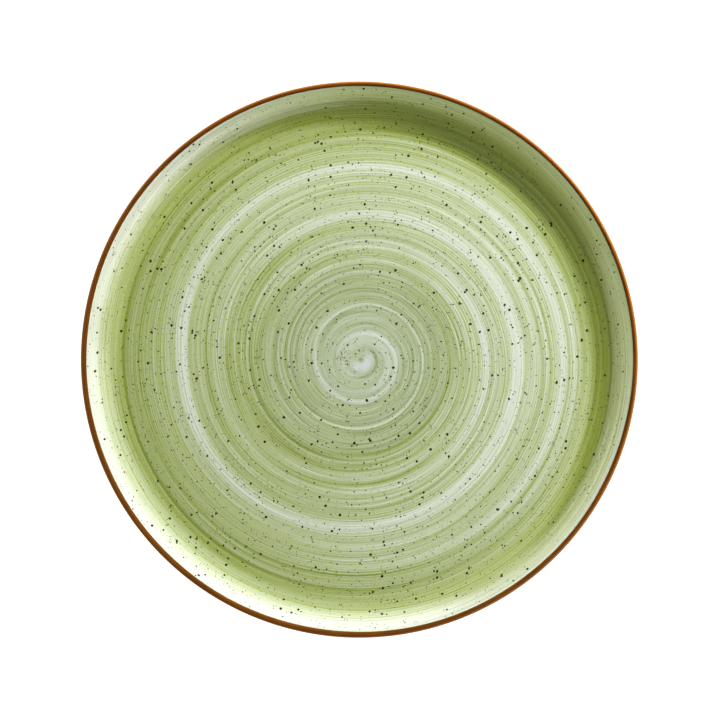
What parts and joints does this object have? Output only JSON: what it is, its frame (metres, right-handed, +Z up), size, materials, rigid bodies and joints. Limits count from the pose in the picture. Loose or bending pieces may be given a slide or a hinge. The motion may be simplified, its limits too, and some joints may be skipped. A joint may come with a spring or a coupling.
{
  "type": "dinner plate",
  "caption": "Round china dinner plate with a flat well, a low sloping wall, a recessed foot ring, a brushed spiral glaze and a brown band on the lip.",
  "frame": {"origin": "centre of the plane that the foot ring stands on", "axes": "+Z up along the plate's axis, out of the well; the plate is round, so +X and +Y are any two level directions at right angles"},
  "size_m": [0.27, 0.27, 0.02],
  "materials": {
    "china": "bare fired clay, matte",
    "pale_glaze": "gloss",
    "green_glaze": "gloss, brushed in a spiral",
    "brown_glaze": "gloss",
    "outside_glaze": "gloss"
  },
  "bodies": {
    "root": {"body": "china", "ground_glaze": "pale_glaze", "swirl_glaze": "green_glaze", "rim_band": "brown_glaze", "outer_glaze": "outside_glaze", "base_glaze": "outside_glaze"}
  },
  "joints": []
}
